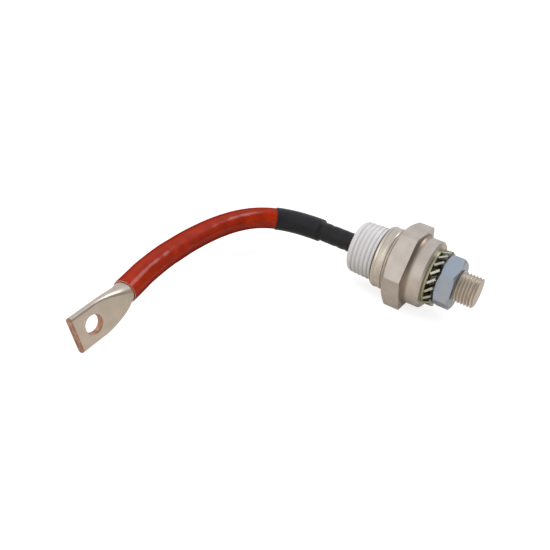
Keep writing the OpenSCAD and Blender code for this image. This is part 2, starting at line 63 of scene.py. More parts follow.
def maths(operation: str, swapped: bool = False) -> Callable[..., "Value"]:
    """A method of Value that adds one Math node.

    Args:
        operation: the node's operation.
        swapped: whether the other value comes first.

    Returns:
        The method.
    """

    def method(self: "Value", *others: Any, clamp: bool = False) -> "Value":
        """Adds the node on this value and the others, the result kept from 0 to 1 if asked."""
        settings = {"operation": operation, "use_clamp": clamp}
        values = (*others, self) if swapped else (self, *others)
        return Value(self.graph, self.graph.node("ShaderNodeMath", settings, *values).outputs[0])

    return method


class Value:
    """A number in a shader. Python's own operators on it add the Math nodes."""

    __add__ = __radd__ = maths("ADD")
    __sub__ = maths("SUBTRACT")
    __rsub__ = maths("SUBTRACT", swapped=True)
    __mul__ = __rmul__ = maths("MULTIPLY")
    __truediv__ = maths("DIVIDE")
    __rtruediv__ = maths("DIVIDE", swapped=True)
    root = maths("SQRT")
    angle = maths("ARCTAN2")

    def __init__(self, graph: "Graph", socket: Socket) -> None:
        """Wraps one output socket of a graph."""
        self.graph = graph
        self.socket = socket

    def clamped(self) -> "Value":
        """The same value kept from 0 to 1."""
        return self.__add__(0.0, clamp=True)

    def eased(self, low: float, high: float) -> "Value":
        """A smooth step from 0 at the low number to 1 at the high one."""
        settings = {"interpolation_type": "SMOOTHSTEP"}
        return Value(self.graph, self.graph.node("ShaderNodeMapRange", settings, self, low, high).outputs[0])


class Graph:
    """The node tree of one material or of the world."""

    def __init__(self, owner: bpy.types.ID) -> None:
        """Starts a material or a world on an empty tree."""
        owner.use_nodes = True
        self.tree = owner.node_tree
        self.tree.nodes.clear()

    def node(self, kind: str, settings: dict[str, Any] | None = None, *inputs: Any, **named: Any) -> Node:
        """Adds one node.

        Args:
            kind: the node's type.
            settings: properties of the node, set before its sockets.
            inputs: values or links for the first sockets in turn; None leaves a socket alone.
            named: values or links by socket name, with _ for a space.

        Returns:
            The new node.
        """
        made = self.tree.nodes.new(kind)
        for key, value in (settings or {}).items():
            setattr(made, key, value)
        sockets = list(zip(made.inputs, inputs))
        sockets += [(made.inputs[key.replace("_", " ")], value) for key, value in named.items()]
        for socket, value in sockets:
            self._feed(socket, value)
        return made

    def _feed(self, socket: Socket, value: Any) -> None:
        """Links a socket, or sets its constant."""
        if value is None:
            return
        if isinstance(value, Value):
            value = value.socket
        if isinstance(value, Socket):
            self.tree.links.new(value, socket)
        elif socket.type == "RGBA" and len(value) == 3:
            socket.default_value = (*value, 1.0)
        else:
            socket.default_value = value

    def place(self) -> Socket:
        """The shaded point in the row frame."""
        return self.node("ShaderNodeTexCoord").outputs["Object"]

    def parts(self, vector: Socket) -> tuple[Value, Value, Value]:
        """A vector's three numbers."""
        return tuple(Value(self, out) for out in self.node("ShaderNodeSeparateXYZ", None, vector).outputs)

    def joined(self, x: Any, y: Any, z: Any) -> Socket:
        """Three numbers as a vector."""
        return self.node("ShaderNodeCombineXYZ", None, x, y, z).outputs[0]

    def noise(self, vector: Socket, scale: float, detail: float = 4.0) -> Value:
        """A noise from 0 to 1, about 0.5."""
        node = self.node("ShaderNodeTexNoise", None, Vector=vector, Scale=scale, Detail=detail)
        return Value(self, node.outputs["Fac"])

    def mixed(self, share: Any, first: Any, second: Any) -> Socket:
        """A colour between two."""
        node = self.node("ShaderNodeMix", {"data_type": "RGBA"})
        for index, value in ((0, share), (6, first), (7, second)):
            self._feed(node.inputs[index], value)
        return node.outputs[2]

    def blended(self, share: Any, first: Node, second: Node) -> Node:
        """A shader between two."""
        return self.node("ShaderNodeMixShader", None, share, first.outputs[0], second.outputs[0])

    def bump(self, height: Value, depth: float, before: Socket | None = None) -> Socket:
        """A normal bumped by a height of so many metres."""
        node = self.node("ShaderNodeBump", None, Strength=1.0, Distance=depth, Height=height, Normal=before)
        return node.outputs[0]

    def hollows(self, reach: float) -> Value:
        """How open a point is, from 0 in a deep recess to 1."""
        node = self.node("ShaderNodeAmbientOcclusion", {"samples": 6, "only_local": True}, Distance=reach)
        return Value(self, node.outputs["AO"])


class Lay(Enum):
    """The way a metal's fine marks run."""

    TURNED = "turned"
    PRESSED = "pressed"


@dataclass(frozen=True)
class BodyAxis:
    """The diode's axis, in metres. Angles run from straight up towards +Y.

    Distances along it run from the seating face towards the lead.
    """

    seat_x: float = 11.65 * MM
    height: float = 15.5 * MM

    def at(self, radius: float, angle: float, along: float) -> Vector:
        """The point at a radius, an angle and a distance along, in millimetres."""
        up, side = radius * math.cos(angle), radius * math.sin(angle)
        return Vector((self.seat_x - along * MM, side * MM, self.height + up * MM))

    def polar(self, graph: Graph) -> tuple[Value, Value, Value]:
        """Radius, angle and distance along, of the shaded point."""
        x, y, z = graph.parts(graph.place())
        up = z - self.height
        return (y * y + up * up).root(), y.angle(up), self.seat_x - x


AXIS = BodyAxis()


@dataclass(frozen=True)
class Metal:
    """Plated or bare metal, with its tone, its fine marks and painted shade in its recesses.

    A seam is a stretch along the axis with painted shade on it. Edges are places along it with a painted
    highlight of lower roughness.
    """

    name: str
    colour: Triple
    shade: Triple
    painted_shade: Triple
    roughness: float = 0.3
    spread: float = 0.12
    lay: Lay = Lay.TURNED
    marks: float = 3e-6
    patch: float = 160.0
    shade_reach: float = 0.6 * MM
    seam: Triple | None = None
    seam_end: float = 0.1 * MM
    glint_edges: tuple[float, ...] = ()
    painted_glint: Triple = (1.0, 0.93, 0.72)
    glint_at: float = -1.0
    glint_size: Pair = (0.3 * MM, 0.5)
    glint_polish: float = 0.1
    tone_step: Pair = (0.35, 0.68)
    shade_step: Pair = (0.35, 0.85)
    shade_share: Pair = (0.55, 0.45)
    recess_roughness: float = 0.2
    grain_scale: float = 2600.0
    grain_share: float = 0.7
    turned_scale: Pair = (9000.0, 0.6)
    pressed_scale: Triple = (1200.0, 300.0, 1200.0)

    def shader(self, graph: Graph) -> Node:
        """Adds the nodes of the finish and returns its shader."""
        place = graph.place()
        patches = graph.noise(place, self.patch)
        grain = graph.noise(place, self.grain_scale, 3.0)
        radius, angle, along = AXIS.polar(graph)
        if self.lay is Lay.TURNED:
            fine, round_it = self.turned_scale
            lines = graph.noise(graph.joined(radius * fine, angle * round_it, along * fine), 1.0, 3.0)
        else:
            pressed = graph.node("ShaderNodeMapping", None, place, None, None, self.pressed_scale)
            lines = graph.noise(pressed.outputs[0], 1.0)
        tone = graph.mixed(patches.eased(*self.tone_step), self.shade, self.colour)
        # Painted shade: the tone darkens in recesses by ambient occlusion, more in some patches, and is
        # rougher there.
        everywhere, in_patches = self.shade_share
        shade_mask = 1.0 - graph.hollows(self.shade_reach).eased(*self.shade_step)
        shade_mask = shade_mask * (everywhere + in_patches * patches)
        tone = graph.mixed(shade_mask.clamped(), tone, self.painted_shade)
        # Painted shade: the seam's stretch along the axis turns to the shade colour.
        if self.seam is not None:
            start, end, soft = self.seam
            dark = along.eased(start, start + soft) - along.eased(end - self.seam_end, end)
            tone = graph.mixed(dark.clamped(), tone, self.painted_shade)
        rough = self.roughness + (lines + patches - 1.0) * self.spread + shade_mask * self.recess_roughness
        wide, high = self.glint_size
        # Painted highlight: near each edge, and near one angle round the axis, the tone turns to the glint
        # colour and the roughness drops.
        for edge in self.glint_edges:
            off, turn = (along - edge) / wide, (angle - self.glint_at) / high
            near = (1.0 - off * off - turn * turn).clamped()
            tone = graph.mixed(near, tone, self.painted_glint)
            rough = rough - near * self.glint_polish
        normal = graph.bump(grain, self.marks * self.grain_share, graph.bump(lines, self.marks))
        return graph.node("ShaderNodeBsdfPrincipled", None, Base_Color=tone, Metallic=1.0,
                          Roughness=rough.clamped(), Normal=normal)


@dataclass(frozen=True)
class Thread:
    """The plated thread: lighter on its crests, darker and browner in its grooves, plain on the stud's end.
    """

    name: str = "stud_thread"
    crest: Triple = (0.84, 0.78, 0.72)
    groove: Triple = (0.56, 0.5, 0.41)
    end: Triple = (0.66, 0.59, 0.52)
    end_step: Pair = (-18.6 * MM, -18.3 * MM)
    root_r: float = 5.62 * MM
    crest_r: float = 6.35 * MM
    patch: float = 500.0
    crest_step: Pair = (0.1, 0.85)
    crest_spread: float = 0.5
    roughness: float = 0.46
    polish: float = 0.14
    spread: float = 0.15
    marks: float = 6e-6

    def shader(self, graph: Graph) -> Node:
        """Adds the nodes of the finish and returns its shader."""
        radius, _, along = AXIS.polar(graph)
        patches = graph.noise(graph.place(), self.patch)
        height = (radius - self.root_r) / (self.crest_r - self.root_r) + (patches - 0.5) * self.crest_spread
        tone = graph.mixed(height.eased(*self.crest_step), self.groove, self.crest)
        tone = graph.mixed(along.eased(*self.end_step), self.end, tone)
        rough = self.roughness - height.clamped() * self.polish + (patches - 0.5) * self.spread
        return graph.node("ShaderNodeBsdfPrincipled", None, Base_Color=tone, Metallic=1.0,
                          Roughness=rough.clamped(), Normal=graph.bump(patches, self.marks))


@dataclass(frozen=True)
class Soft:
    """A coat or body that isn't metal: ceramic, sleeve, rubber, mica or silicon.

    The rim is a dark matt colour painted on the sides that face away from the camera: painted shade at the
    outline, in place of their sheen.
    """

    name: str
    colour: Triple
    shade: Triple
    roughness: float
    spread: float = 0.1
    patch: float = 120.0
    wave: float = 0.0
    wave_scale: float = 90.0
    grain: float = 0.0
    grain_scale: float = 2500.0
    coat: float = 0.0
    coat_roughness: float = 0.05
    hollow_shade: Triple | None = None
    hollow_reach: float = 1.2 * MM
    hollow_step: Pair = (0.3, 0.9)
    tone_step: Pair = (0.3, 0.7)
    inside: float = 0.0
    inside_reach: Triple = (1.0, 0.5, 0.3)
    inside_scale: float = 0.6 * MM
    shine: float = 0.5
    rim: Triple | None = None
    rim_step: Pair = (0.32, 0.75)
    rim_roughness: float = 0.6

    def shader(self, graph: Graph) -> Node:
        """Adds the nodes of the finish and returns its shader."""
        place = graph.place()
        patches = graph.noise(place, self.patch)
        grain = graph.noise(place, self.grain_scale, 3.0)
        tone = graph.mixed(patches.eased(*self.tone_step), self.shade, self.colour)
        # Painted shade: the tone darkens in recesses, by ambient occlusion.
        if self.hollow_shade is not None:
            deep = 1.0 - graph.hollows(self.hollow_reach).eased(*self.hollow_step)
            tone = graph.mixed(deep, tone, self.hollow_shade)
        rough = self.roughness + (patches + grain - 1.0) * self.spread
        waves = graph.bump(graph.noise(place, self.wave_scale, 1.0), self.wave)
        shader = graph.node(
            "ShaderNodeBsdfPrincipled", None, Base_Color=tone, Roughness=rough.clamped(),
            Normal=graph.bump(grain, self.grain, waves), Specular_IOR_Level=self.shine,
            Coat_Weight=self.coat, Coat_Roughness=self.coat_roughness, Subsurface_Weight=self.inside,
            Subsurface_Radius=self.inside_reach, Subsurface_Scale=self.inside_scale)
        # Painted shade at the outline: sides seen edge-on turn to the dark matt rim colour, with no sheen.
        if self.rim is None:
            return shader
        away = Value(graph, graph.node("ShaderNodeLayerWeight", None, 0.5).outputs["Facing"])
        matt = graph.node("ShaderNodeBsdfPrincipled", None, Base_Color=self.rim,
                          Roughness=self.rim_roughness, Specular_IOR_Level=0.0)
        return graph.blended(away.eased(*self.rim_step), shader, matt)


class Finish(Enum):
    """Every finish on the diode."""

    # The third colour of each metal is its painted shade, for recesses and seams; the base's seam is painted
    # shade in the neck between collar and hexagon.
    BASE = Metal("nickel_on_copper", (0.66, 0.6, 0.54), (0.58, 0.52, 0.46), (0.3, 0.24, 0.19), 0.39,
                 shade_reach=1.5 * MM, seam=(4.4 * MM, 6.98 * MM, 1.6 * MM))
    THREAD = Thread()
    # The ring's seam is painted shade on the rounding of its lip beside the ceramic; its two edges carry
    # painted highlights.
    RING = Metal("nickel_on_steel", (0.7, 0.64, 0.56), (0.62, 0.56, 0.48), (0.07, 0.055, 0.03), 0.3,
                 seam=(20.95 * MM, 21.75 * MM, 0.15 * MM), glint_edges=(18.0 * MM, 20.4 * MM))
    ZINC = Metal("blue_zinc", (0.38, 0.455, 0.55), (0.44, 0.47, 0.52), (0.05, 0.05, 0.06), 0.36, 0.16,
                 Lay.PRESSED, 4e-6, 220.0)
    TEETH = Metal("tooth_plate", (0.66, 0.64, 0.52), (0.52, 0.52, 0.44), (0.02, 0.02, 0.012), 0.3, 0.14,
                  Lay.PRESSED, 4e-6, 260.0, 1.0 * MM)
    WASHER = Metal("washer_plate", (0.56, 0.55, 0.37), (0.48, 0.47, 0.32), (0.03, 0.028, 0.015), 0.32, 0.14,
                   Lay.PRESSED, 4e-6, 260.0)
    TIN = Metal("tin_on_copper", (0.7, 0.6, 0.51), (0.61, 0.545, 0.455), (0.14, 0.08, 0.05), 0.34, 0.14,
                Lay.PRESSED, 3e-6, 190.0, 0.4 * MM)
    COPPER = Metal("bare_copper", (0.6, 0.36, 0.27), (0.42, 0.22, 0.15), (0.1, 0.045, 0.03), 0.4, 0.2,
                   Lay.PRESSED, 6e-6, 600.0)
    STEEL = Metal("plain_steel", (0.42, 0.42, 0.41), (0.35, 0.35, 0.35), (0.05, 0.05, 0.05), 0.35)
    MOLYBDENUM = Metal("molybdenum", (0.4, 0.4, 0.42), (0.33, 0.33, 0.35), (0.05, 0.05, 0.05), 0.45)
    # The ceramic's fourth colour is painted shade in the grooves between its ribs.
    CERAMIC = Soft("glazed_ceramic", (0.7, 0.69, 0.68), (0.66, 0.655, 0.655), 0.36, 0.08, 150.0,
                   2e-5, 160.0, 1e-6, 2200.0, 0.15, 0.2, (0.4, 0.4, 0.41), 1.5 * MM, (0.55, 0.97), shine=0.35)
    # The red sleeve's rim colour is painted shade at its outline.
    RED = Soft("red_sleeve", (0.42, 0.025, 0.001), (0.3, 0.015, 0.001), 0.18, 0.08, 130.0,
               5e-4, 140.0, 1.5e-6, 1600.0, shine=0.2, rim=(0.27, 0.013, 0.001))
    RED_RIM = Soft("red_rim", (0.85, 0.5, 0.38), (0.75, 0.36, 0.26), 0.4, inside=0.1)
    BLACK = Soft("black_sleeve", (0.014, 0.0145, 0.016), (0.009, 0.0095, 0.011), 0.42, 0.12, 90.0,
                 4.5e-4, 190.0, 3e-6, 1800.0, 0.05, 0.3, shine=0.25)
    SILICONE = Soft("silicone", (0.72, 0.66, 0.55), (0.66, 0.6, 0.5), 0.4)
    MICA = Soft("mica", (0.66, 0.6, 0.47), (0.58, 0.52, 0.4), 0.45)
    SILICON = Soft("silicon", (0.045, 0.05, 0.065), (0.03, 0.033, 0.045), 0.15, coat=1.0)

    def material(self) -> bpy.types.Material:
        """The one material of this finish, built when it is first asked for."""
        made = bpy.data.materials.get(self.value.name)
        if made is None:
            made = bpy.data.materials.new(self.value.name)
            graph = Graph(made)
            graph.node("ShaderNodeOutputMaterial", None, self.value.shader(graph).outputs[0])
        return made


def linked(name: str, data: bpy.types.ID) -> Piece:
    """A new object in the scene."""
    made = bpy.data.objects.new(name, data)
    bpy.context.scene.collection.objects.link(made)
    return made


def smoothed(made: Piece, crease: float) -> Piece:
    """Shades a piece smooth, but for edges from a crease angle in degrees."""
    made.data.polygons.foreach_set("use_smooth", [True] * len(made.data.polygons))
    made.data.set_sharp_from_angle(angle=math.radians(crease))
    made.modifiers.new("weighted", "WEIGHTED_NORMAL").keep_sharp = True
    return made


def stands_for(made: Piece, node: str) -> Piece:
    """Puts a piece in the place of its CAD node: hangs it on the root body and hides the node."""
    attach(made, "root")
    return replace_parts(made, node)


class Skin:
    """Rings of points joined into one mesh, with a finish number on each face."""

    def __init__(self) -> None:
        """Starts empty."""
        self.points: list[Vector] = []
        self.faces: list[tuple[int, ...]] = []
        self.finishes: list[int] = []

    def ring(self, points: Iterable[Vector]) -> range:
        """Adds points and returns their numbers."""
        start = len(self.points)
        self.points.extend(points)
        return range(start, len(self.points))

    def join(self, first: Sequence[int], second: Sequence[int], finish: int = 0,
             open_ends: bool = False) -> None:
        """Adds a band of faces.

        Args:
            first: one ring's point numbers.
            second: the next ring's.
            finish: number of the band's finish.
            open_ends: whether the ring's last point doesn't meet its first.
        """
        count = len(first)
        for i in range(count - 1 if open_ends else count):
            j = (i + 1) % count
            self.faces.append((first[i], first[j], second[j], second[i]))
            self.finishes.append(finish)

    def chain(self, rings: Sequence[Sequence[int]], closed: bool = False, finish: int = 0) -> None:
        """Joins rings in turn, and the last to the first if closed."""
        for first, second in zip(rings, [*rings[1:], *rings[:closed]]):
            self.join(first, second, finish)

    def cap(self, ring: Sequence[int], finish: int = 0) -> None:
        """Closes a ring with one face."""
        self.faces.append(tuple(ring))
        self.finishes.append(finish)

    def solid(self, rings: Sequence[Sequence[int]], finish: int = 0) -> None:
        """Joins rings in turn and closes both ends."""
        self.chain(rings, finish=finish)
        self.cap(rings[0], finish)
        self.cap(rings[-1], finish)

    def revolve(self, outline: Sequence[Pair], count: int, finish: int = 0,
                closed: bool = True) -> list[range]:
        """Turns an outline of (radius, distance along) round the axis, and returns its rings."""
        rings = [self.ring(AXIS.at(r, a, z) for a in round_angles(count)) for r, z in outline]
        self.chain(rings, closed, finish)
        return rings

    def move(self, place: Matrix) -> None:
        """Moves every point by a matrix."""
        self.points = [place @ p for p in self.points]

    def made(self, name: str, finishes: Sequence[Finish], crease: float = 32.0) -> Piece:
        """Makes the object.

        Args:
            name: the object's name.
            finishes: its finishes, by the numbers on the faces.
            crease: angle in degrees from which an edge is drawn sharp.

        Returns:
            The new object, linked to the scene.
        """
        mesh = bpy.data.meshes.new(name)
        mesh.from_pydata([tuple(p) for p in self.points], [], self.faces)
        mesh.polygons.foreach_set("material_index", self.finishes)
        work = bmesh.new()
        work.from_mesh(mesh)
        bmesh.ops.remove_doubles(work, verts=work.verts, dist=1e-6)
        bmesh.ops.recalc_face_normals(work, faces=work.faces)
        work.to_mesh(mesh)
        work.free()
        for finish in finishes:
            mesh.materials.append(finish.material())
        return smoothed(linked(name, mesh), crease)


def held(share: float) -> float:
    """A number kept from 0 to 1."""
    return min(max(share, 0.0), 1.0)


def eased(share: float) -> float:
    """A smooth step from 0 to 1."""
    t = held(share)
    return t * t * (3 - 2 * t)


def round_angles(count: int, start: float = 0.0) -> np.ndarray:
    """Angles of an even ring, from a share of a step on."""
    return (np.arange(count) + start) * TURN / count


def arc(centre: Pair, radius: float, start: float, end: float, steps: int) -> list[Pair]:
    """Points of an arc in an outline, its angles in degrees."""
    angles = np.radians(np.linspace(start, end, steps + 1))
    return [(centre[0] + radius * math.cos(a), centre[1] + radius * math.sin(a)) for a in angles]


@dataclass(frozen=True)
class Hexagon:
    """A hexagon round the axis, with its corners a little rounded."""

    flats: float
    corner_at: float
    edge: float = 0.45
    steps: int = 24
    tip_share: float = 0.25

    def corner_r(self) -> float:
        """Radius of the sharp corners."""
        return self.flats / 2 / math.cos(HALF_SIDE)

    def columns(self) -> list[Pair]:
        """Angle and radius of each point round it."""
        inner = self.flats / 2
        soft = math.radians(30 - self.edge)
        beside = inner / math.cos(soft)
        tip = beside + self.tip_share * (self.corner_r() - beside)
        made = []
        for corner in range(6):
            middle = math.radians(self.corner_at + 60 * corner)
            made.append((middle, tip))
            made += [(middle + HALF_SIDE + turn, inner / math.cos(turn))
                     for turn in np.linspace(-soft, soft, self.steps)]
        return made

    def rings(self, skin: Skin, *places: Callable[[float], Pair]) -> list[range]:
        """Rings whose radius and distance along follow from the hexagon's own radius."""
        spots = [[(a, *place(r)) for a, r in self.columns()] for place in places]
        return [skin.ring(AXIS.at(radius, a, along) for a, radius, along in row) for row in spots]

    def round_rings(self, skin: Skin, outline: Iterable[Pair]) -> list[range]:
        """Round rings on the hexagon's angles, one for each radius and distance along."""
        return self.rings(skin, *(lambda r, spot=spot: spot for spot in outline))


@dataclass
class Base:
    """The copper base: threaded stud, seating collar, hexagon and the chip's pocket."""

    flats: float = 31.0
    top: float = 16.0
    top_r: float = 12.85
    chamfer: float = 2.6
    collar_r: float = 13.85
    collar: float = 7.0
    edge: float = 0.7
    bevel: float = 0.12
    neck: Pair = (1.35, 2.3)
    thread_r: float = 6.35
    pitch: float = 1.27
    depth_share: float = 0.6
    flank: float = 1.35
    groove_flat: float = 0.1
    runout: float = 1.4
    undercut: float = 1.4
    stud: float = 18.7
    end_chamfer: float = 0.3
    nut_from: float = 4.31
    nut_to: float = 10.71
    nut_share: float = 0.34
    nut_runout: float = 0.8
    end_inset: float = 0.4
    root_inset: float = 0.3
    hub_r: float = 0.5
    pocket: Sequence[Pair] = ((11.4, 16), (11.4, 14.5), (9.6, 14.5), (9.6, 8), (7.2, 8), (7.2, 9))

    def build(self) -> Piece:
        """Builds the whole base."""
        skin = Skin()
        self._body(skin)
        self._stud(skin)
        made = skin.made("base", [Finish.BASE, Finish.THREAD], 28.0)
        return stands_for(made, "stud_base")

    def _body(self, skin: Skin) -> None:
        """Adds the collar, the hexagon and the pocket."""
        hexagon, b = Hexagon(self.flats, 30.0), self.bevel
        corner = hexagon.corner_r()

        def cone(r: float) -> float:
            """Distance along at which the chamfer meets a radius."""
            return self.top - self.chamfer * (r - self.top_r) / (corner - self.top_r)

        wide, long = self.neck
        turned = [(self.hub_r, 0), (self.collar_r - self.edge, 0), (self.collar_r, self.edge)]
        turned += [(self.collar_r + wide * (1 - math.cos(a)), self.collar - long * (1 - math.sin(a)))
                   for a in np.radians(np.linspace(0, 90, 10))]
        rings = hexagon.round_rings(skin, turned)
        rings += hexagon.rings(
            skin, lambda r: (r - b, self.collar), lambda r: (r - 0.3 * b, self.collar + 0.3 * b),
            lambda r: (r, self.collar + b), lambda r: (r, cone(r) - b),
            lambda r: (r - 0.5 * b, cone(r) + 0.2 * b), lambda r: (r - 2 * b, cone(r - 2 * b)),
            lambda r: (self.top_r, self.top))
        rings += hexagon.round_rings(skin, self.pocket)
        skin.solid(rings)

    def _stud(self, skin: Skin, steps: int = 12, count: int = 120) -> None:
        """Adds the stud with its right-handed thread, whose edges follow the helix."""
        root = self.thread_r - self.depth_share * self.pitch
        low, high = -self.stud, -self.undercut

        def radius(phase: float, z: float) -> float:
            """Radius of the thread at a place in its pitch, cut down at its ends and in the nut."""
            slope = abs(2 * phase - 1) * self.pitch / 2 * self.flank
            crest = min(self.thread_r, root + max(0.0, slope - self.groove_flat))
            crest = min(crest, self.thread_r - self.end_chamfer + (z - low), root + (high - z) * self.runout)
            if -self.nut_to + self.nut_runout < z < -self.nut_from:
                crest = min(crest, self.thread_r - self.nut_share * self.pitch)
            return max(crest, root)

        rows = int((self.stud - self.undercut) / self.pitch + 2) * steps
        made = []
        for i in range(rows + 1):
            row = []
            for j in range(count + 1):
                turns = i / steps - 1 + j / count
                z = min(max(low + turns * self.pitch, low), high)
                phase = (i % steps) / steps if turns > 0 else (1 - j / count) % 1
                row.append(AXIS.at(radius(phase, z), TURN * j / count, z))
            made.append(skin.ring(row))
        for first, second in zip(made, made[1:]):
            skin.join(first, second, 1, open_ends=True)
        face = skin.revolve([(root - self.end_inset, low)], count, 1, False)[0]
        skin.join(face, made[0][:count], 1)
        skin.cap(face, 1)
        skin.cap(skin.revolve([(root, high), (root, self.root_inset)], count, 1, False)[-1], 1)


@dataclass
class CaseRing:
    """The steel ring on the base, with its groove, its shallow band and its rolled lip."""

    radius: float = 12.85
    bore: float = 9.6
    foot_r: float = 11.34
    foot: float = 14.5
    base_top: float = 16.0
    top: float = 21.8
    step: float = 20.0
    lip_in: float = 11.7
    lip_round: float = 1.35
    band: float = 0.15
    band_from: float = 1.9
    band_to: float = 0.5
    groove: float = 0.5
    groove_w: float = 0.55
    bead: float = 0.45
    bead_at: float = 1.05

    def build(self) -> Piece:
        """Builds the ring."""
        radius, soft, bead, band = self.radius, self.lip_round, self.bead, self.band
        neck, low, high = radius - self.groove, self.base_top + self.band_from, self.top - soft - self.band_to
        outline = [(self.bore, self.foot), (self.foot_r, self.foot), (self.foot_r, self.base_top),
                   (neck, self.base_top), (neck, self.base_top + self.groove_w)]
        outline += arc((radius - bead, self.base_top + self.bead_at), bead, -80, 0, 4)
        outline += [(radius, low), (radius - band, low + band), (radius - band, high - band), (radius, high)]
        outline += arc((radius - soft, self.top - soft), soft, 0, 90, 8)
        outline += [(self.lip_in, self.top), (self.lip_in, self.step), (self.bore, self.step)]
        skin = Skin()
        skin.revolve(outline, 192)
        made = skin.made("case_ring_shell", [Finish.RING], 40.0)
        return stands_for(made, "case_ring")


@dataclass
class Ceramic:
    """The white ceramic with its rounded ribs."""

    foot: float = 20.8
    length: float = 12.7
    radius: float = 11.3
    taper: float = 0.45
    wall: float = 3.2
    end_wall: float = 3.0
    hole_r: float = 3.0
    foot_chamfer: float = 0.6
    ribs: int = 6
    depth: float = 0.55
    bluntness: float = 1.8
    first_rib: float = 21.6
    last_rib: float = 0.4
    round_r: float = 2.2
    step: float = 0.13

    def surface(self, z: float) -> float:
        """Radius of the ribbed side at a distance along."""
        pitch = (self.foot + self.length - self.last_rib * self.round_r - self.first_rib) / self.ribs
        phase = 2 * ((z - self.first_rib) / pitch % 1) - 1
        rib = self.depth * abs(phase) ** self.bluntness
        return self.radius - self.taper * (z - self.foot) / self.length - rib

    def build(self) -> Piece:
        """Builds the ceramic."""
        top, bore = self.foot + self.length, self.radius - self.wall
        shoulder, roof = top - self.round_r, top - self.end_wall
        outline = [(bore, self.foot), (self.radius - self.foot_chamfer, self.foot)]
        outline += [(self.surface(z), z) for z in np.arange(self.first_rib, shoulder, self.step)]
        outline += arc((self.surface(shoulder) - self.round_r, shoulder), self.round_r, 0, 90, 12)
        outline += [(self.hole_r, top), (self.hole_r, roof), (bore, roof)]
        skin = Skin()
        skin.revolve(outline, 160)
        return stands_for(skin.made("ceramic_body", [Finish.CERAMIC], 60.0), "ceramic_insulator")


@dataclass
class Hardware:
    """The flat washer, the external-tooth lock washer and the nut."""

    hole_r: float = 6.6
    washer_r: float = 11.0
    washer_t: float = 1.0
    washer_edge: float = 0.15
    lock_z: float = 2.7055
    lock_t: float = 1.0
    lock_ring: float = 8.5
    teeth: int = 19
    tooth_edge: float = 0.1
    tooth_at: Sequence[float] = (-0.4, -0.1, 0.2, 0.5, 0.8, 1.1, 2.0, 2.8, 2.9)
    tooth_bends: Sequence[Triple] = ((-0.4, 0, 0), (0.4, 0.6, 0.25), (1.1, 1, 0.8), (2.9, 1, 1))
    root_w: float = 2.38
    tip_w: float = 3.8
    twist: float = 47.0
    nut_z: float = 4.314
    nut_h: float = 6.4
    nut_flats: float = 19.05
    nut_turn: float = 54.0
    nut_chamfer: float = 0.8
    nut_slope: float = math.tan(math.radians(30))
    nut_edge: float = 0.1
    nut_bore: float = 5.95
    nut_mouth: Pair = (0.55, 0.5)

    def flat_washer(self) -> Piece:
        """Builds the flat washer, its edges broken."""
        hole, rim, b, low = self.hole_r, self.washer_r, self.washer_edge, -self.washer_t
        skin = Skin()
        skin.revolve([(hole, low), (rim - b, low), (rim, low + b), (rim, -b), (rim - b, 0), (hole, 0)], 128)
        return stands_for(skin.made("plain_washer", [Finish.WASHER]), "flat_washer")

    def lock_washer(self) -> Piece:
        """Builds the lock washer, each tooth a blade that twists out of the ring."""
        skin = Skin()
        hole, rim, t = self.hole_r, self.lock_ring, self.lock_t / 2
        low, high = -self.lock_z - t, -self.lock_z + t
        skin.revolve([(hole, low), (rim, low), (rim, high), (hole, high)], 152)
        for turn in round_angles(self.teeth):
            self._tooth(skin, turn)
        return stands_for(skin.made("toothed_washer", [Finish.TEETH]), "lock_washer")

    def _tooth(self, skin: Skin, turn: float) -> None:
        """Adds one tooth at an angle round the axis, twisted and widened by how far out it is."""
        reach, twisted, widened = zip(*self.tooth_bends)
        rings, b = [], self.tooth_edge
        for out in self.tooth_at:
            a = -math.radians(self.twist) * np.interp(out, reach, twisted)
            w = (self.root_w + (self.tip_w - self.root_w) * np.interp(out, reach, widened)) / 2
            r, t = self.lock_ring + out, self.lock_t / 2
            if out == self.tooth_at[-1]:
                w, t = w - b, t - b
            section = [(-w + b, -t), (w - b, -t), (w, -t + b), (w, t - b),
                       (w - b, t), (-w + b, t), (-w, t - b), (-w, -t + b)]
            ring = []
            for x, y in section:
                side, along = x * math.cos(a) - y * math.sin(a), x * math.sin(a) + y * math.cos(a)
                ring.append(AXIS.at(math.hypot(r, side), turn + math.atan2(side, r), along - self.lock_z))
            rings.append(skin.ring(ring))
        skin.solid(rings)

    def nut(self) -> Piece:
        """Builds the nut, chamfered on both faces."""
        hexagon = Hexagon(self.nut_flats, -self.nut_turn)
        face_r = hexagon.corner_r() - self.nut_chamfer / self.nut_slope
        near, far, b = -self.nut_z, -self.nut_z - self.nut_h, self.nut_edge

        def drop(r: float) -> float:
            """How far the chamfer falls at a radius."""
            return max(b, (r - face_r) * self.nut_slope + b)

        skin = Skin()
        bore, (wide, deep) = self.nut_bore, self.nut_mouth
        rings = hexagon.round_rings(
            skin, ((bore + wide, near), (bore, near - deep), (bore, far + deep), (bore + wide, far)))
        rings += hexagon.rings(
            skin, lambda r: (min(r - b, face_r), far), lambda r: (r - 0.3 * b, far + drop(r) - 0.7 * b),
            lambda r: (r, far + drop(r) + b), lambda r: (r, near - drop(r) - b),
            lambda r: (r - 0.3 * b, near - drop(r) + 0.7 * b), lambda r: (min(r - b, face_r), near))
        skin.chain(rings, closed=True)
        return stands_for(skin.made("thin_nut", [Finish.ZINC], 24.0), "hex_nut")

    def build(self) -> list[Piece]:
        """Builds the three pieces."""
        return [self.flat_washer(), self.lock_washer(), self.nut()]


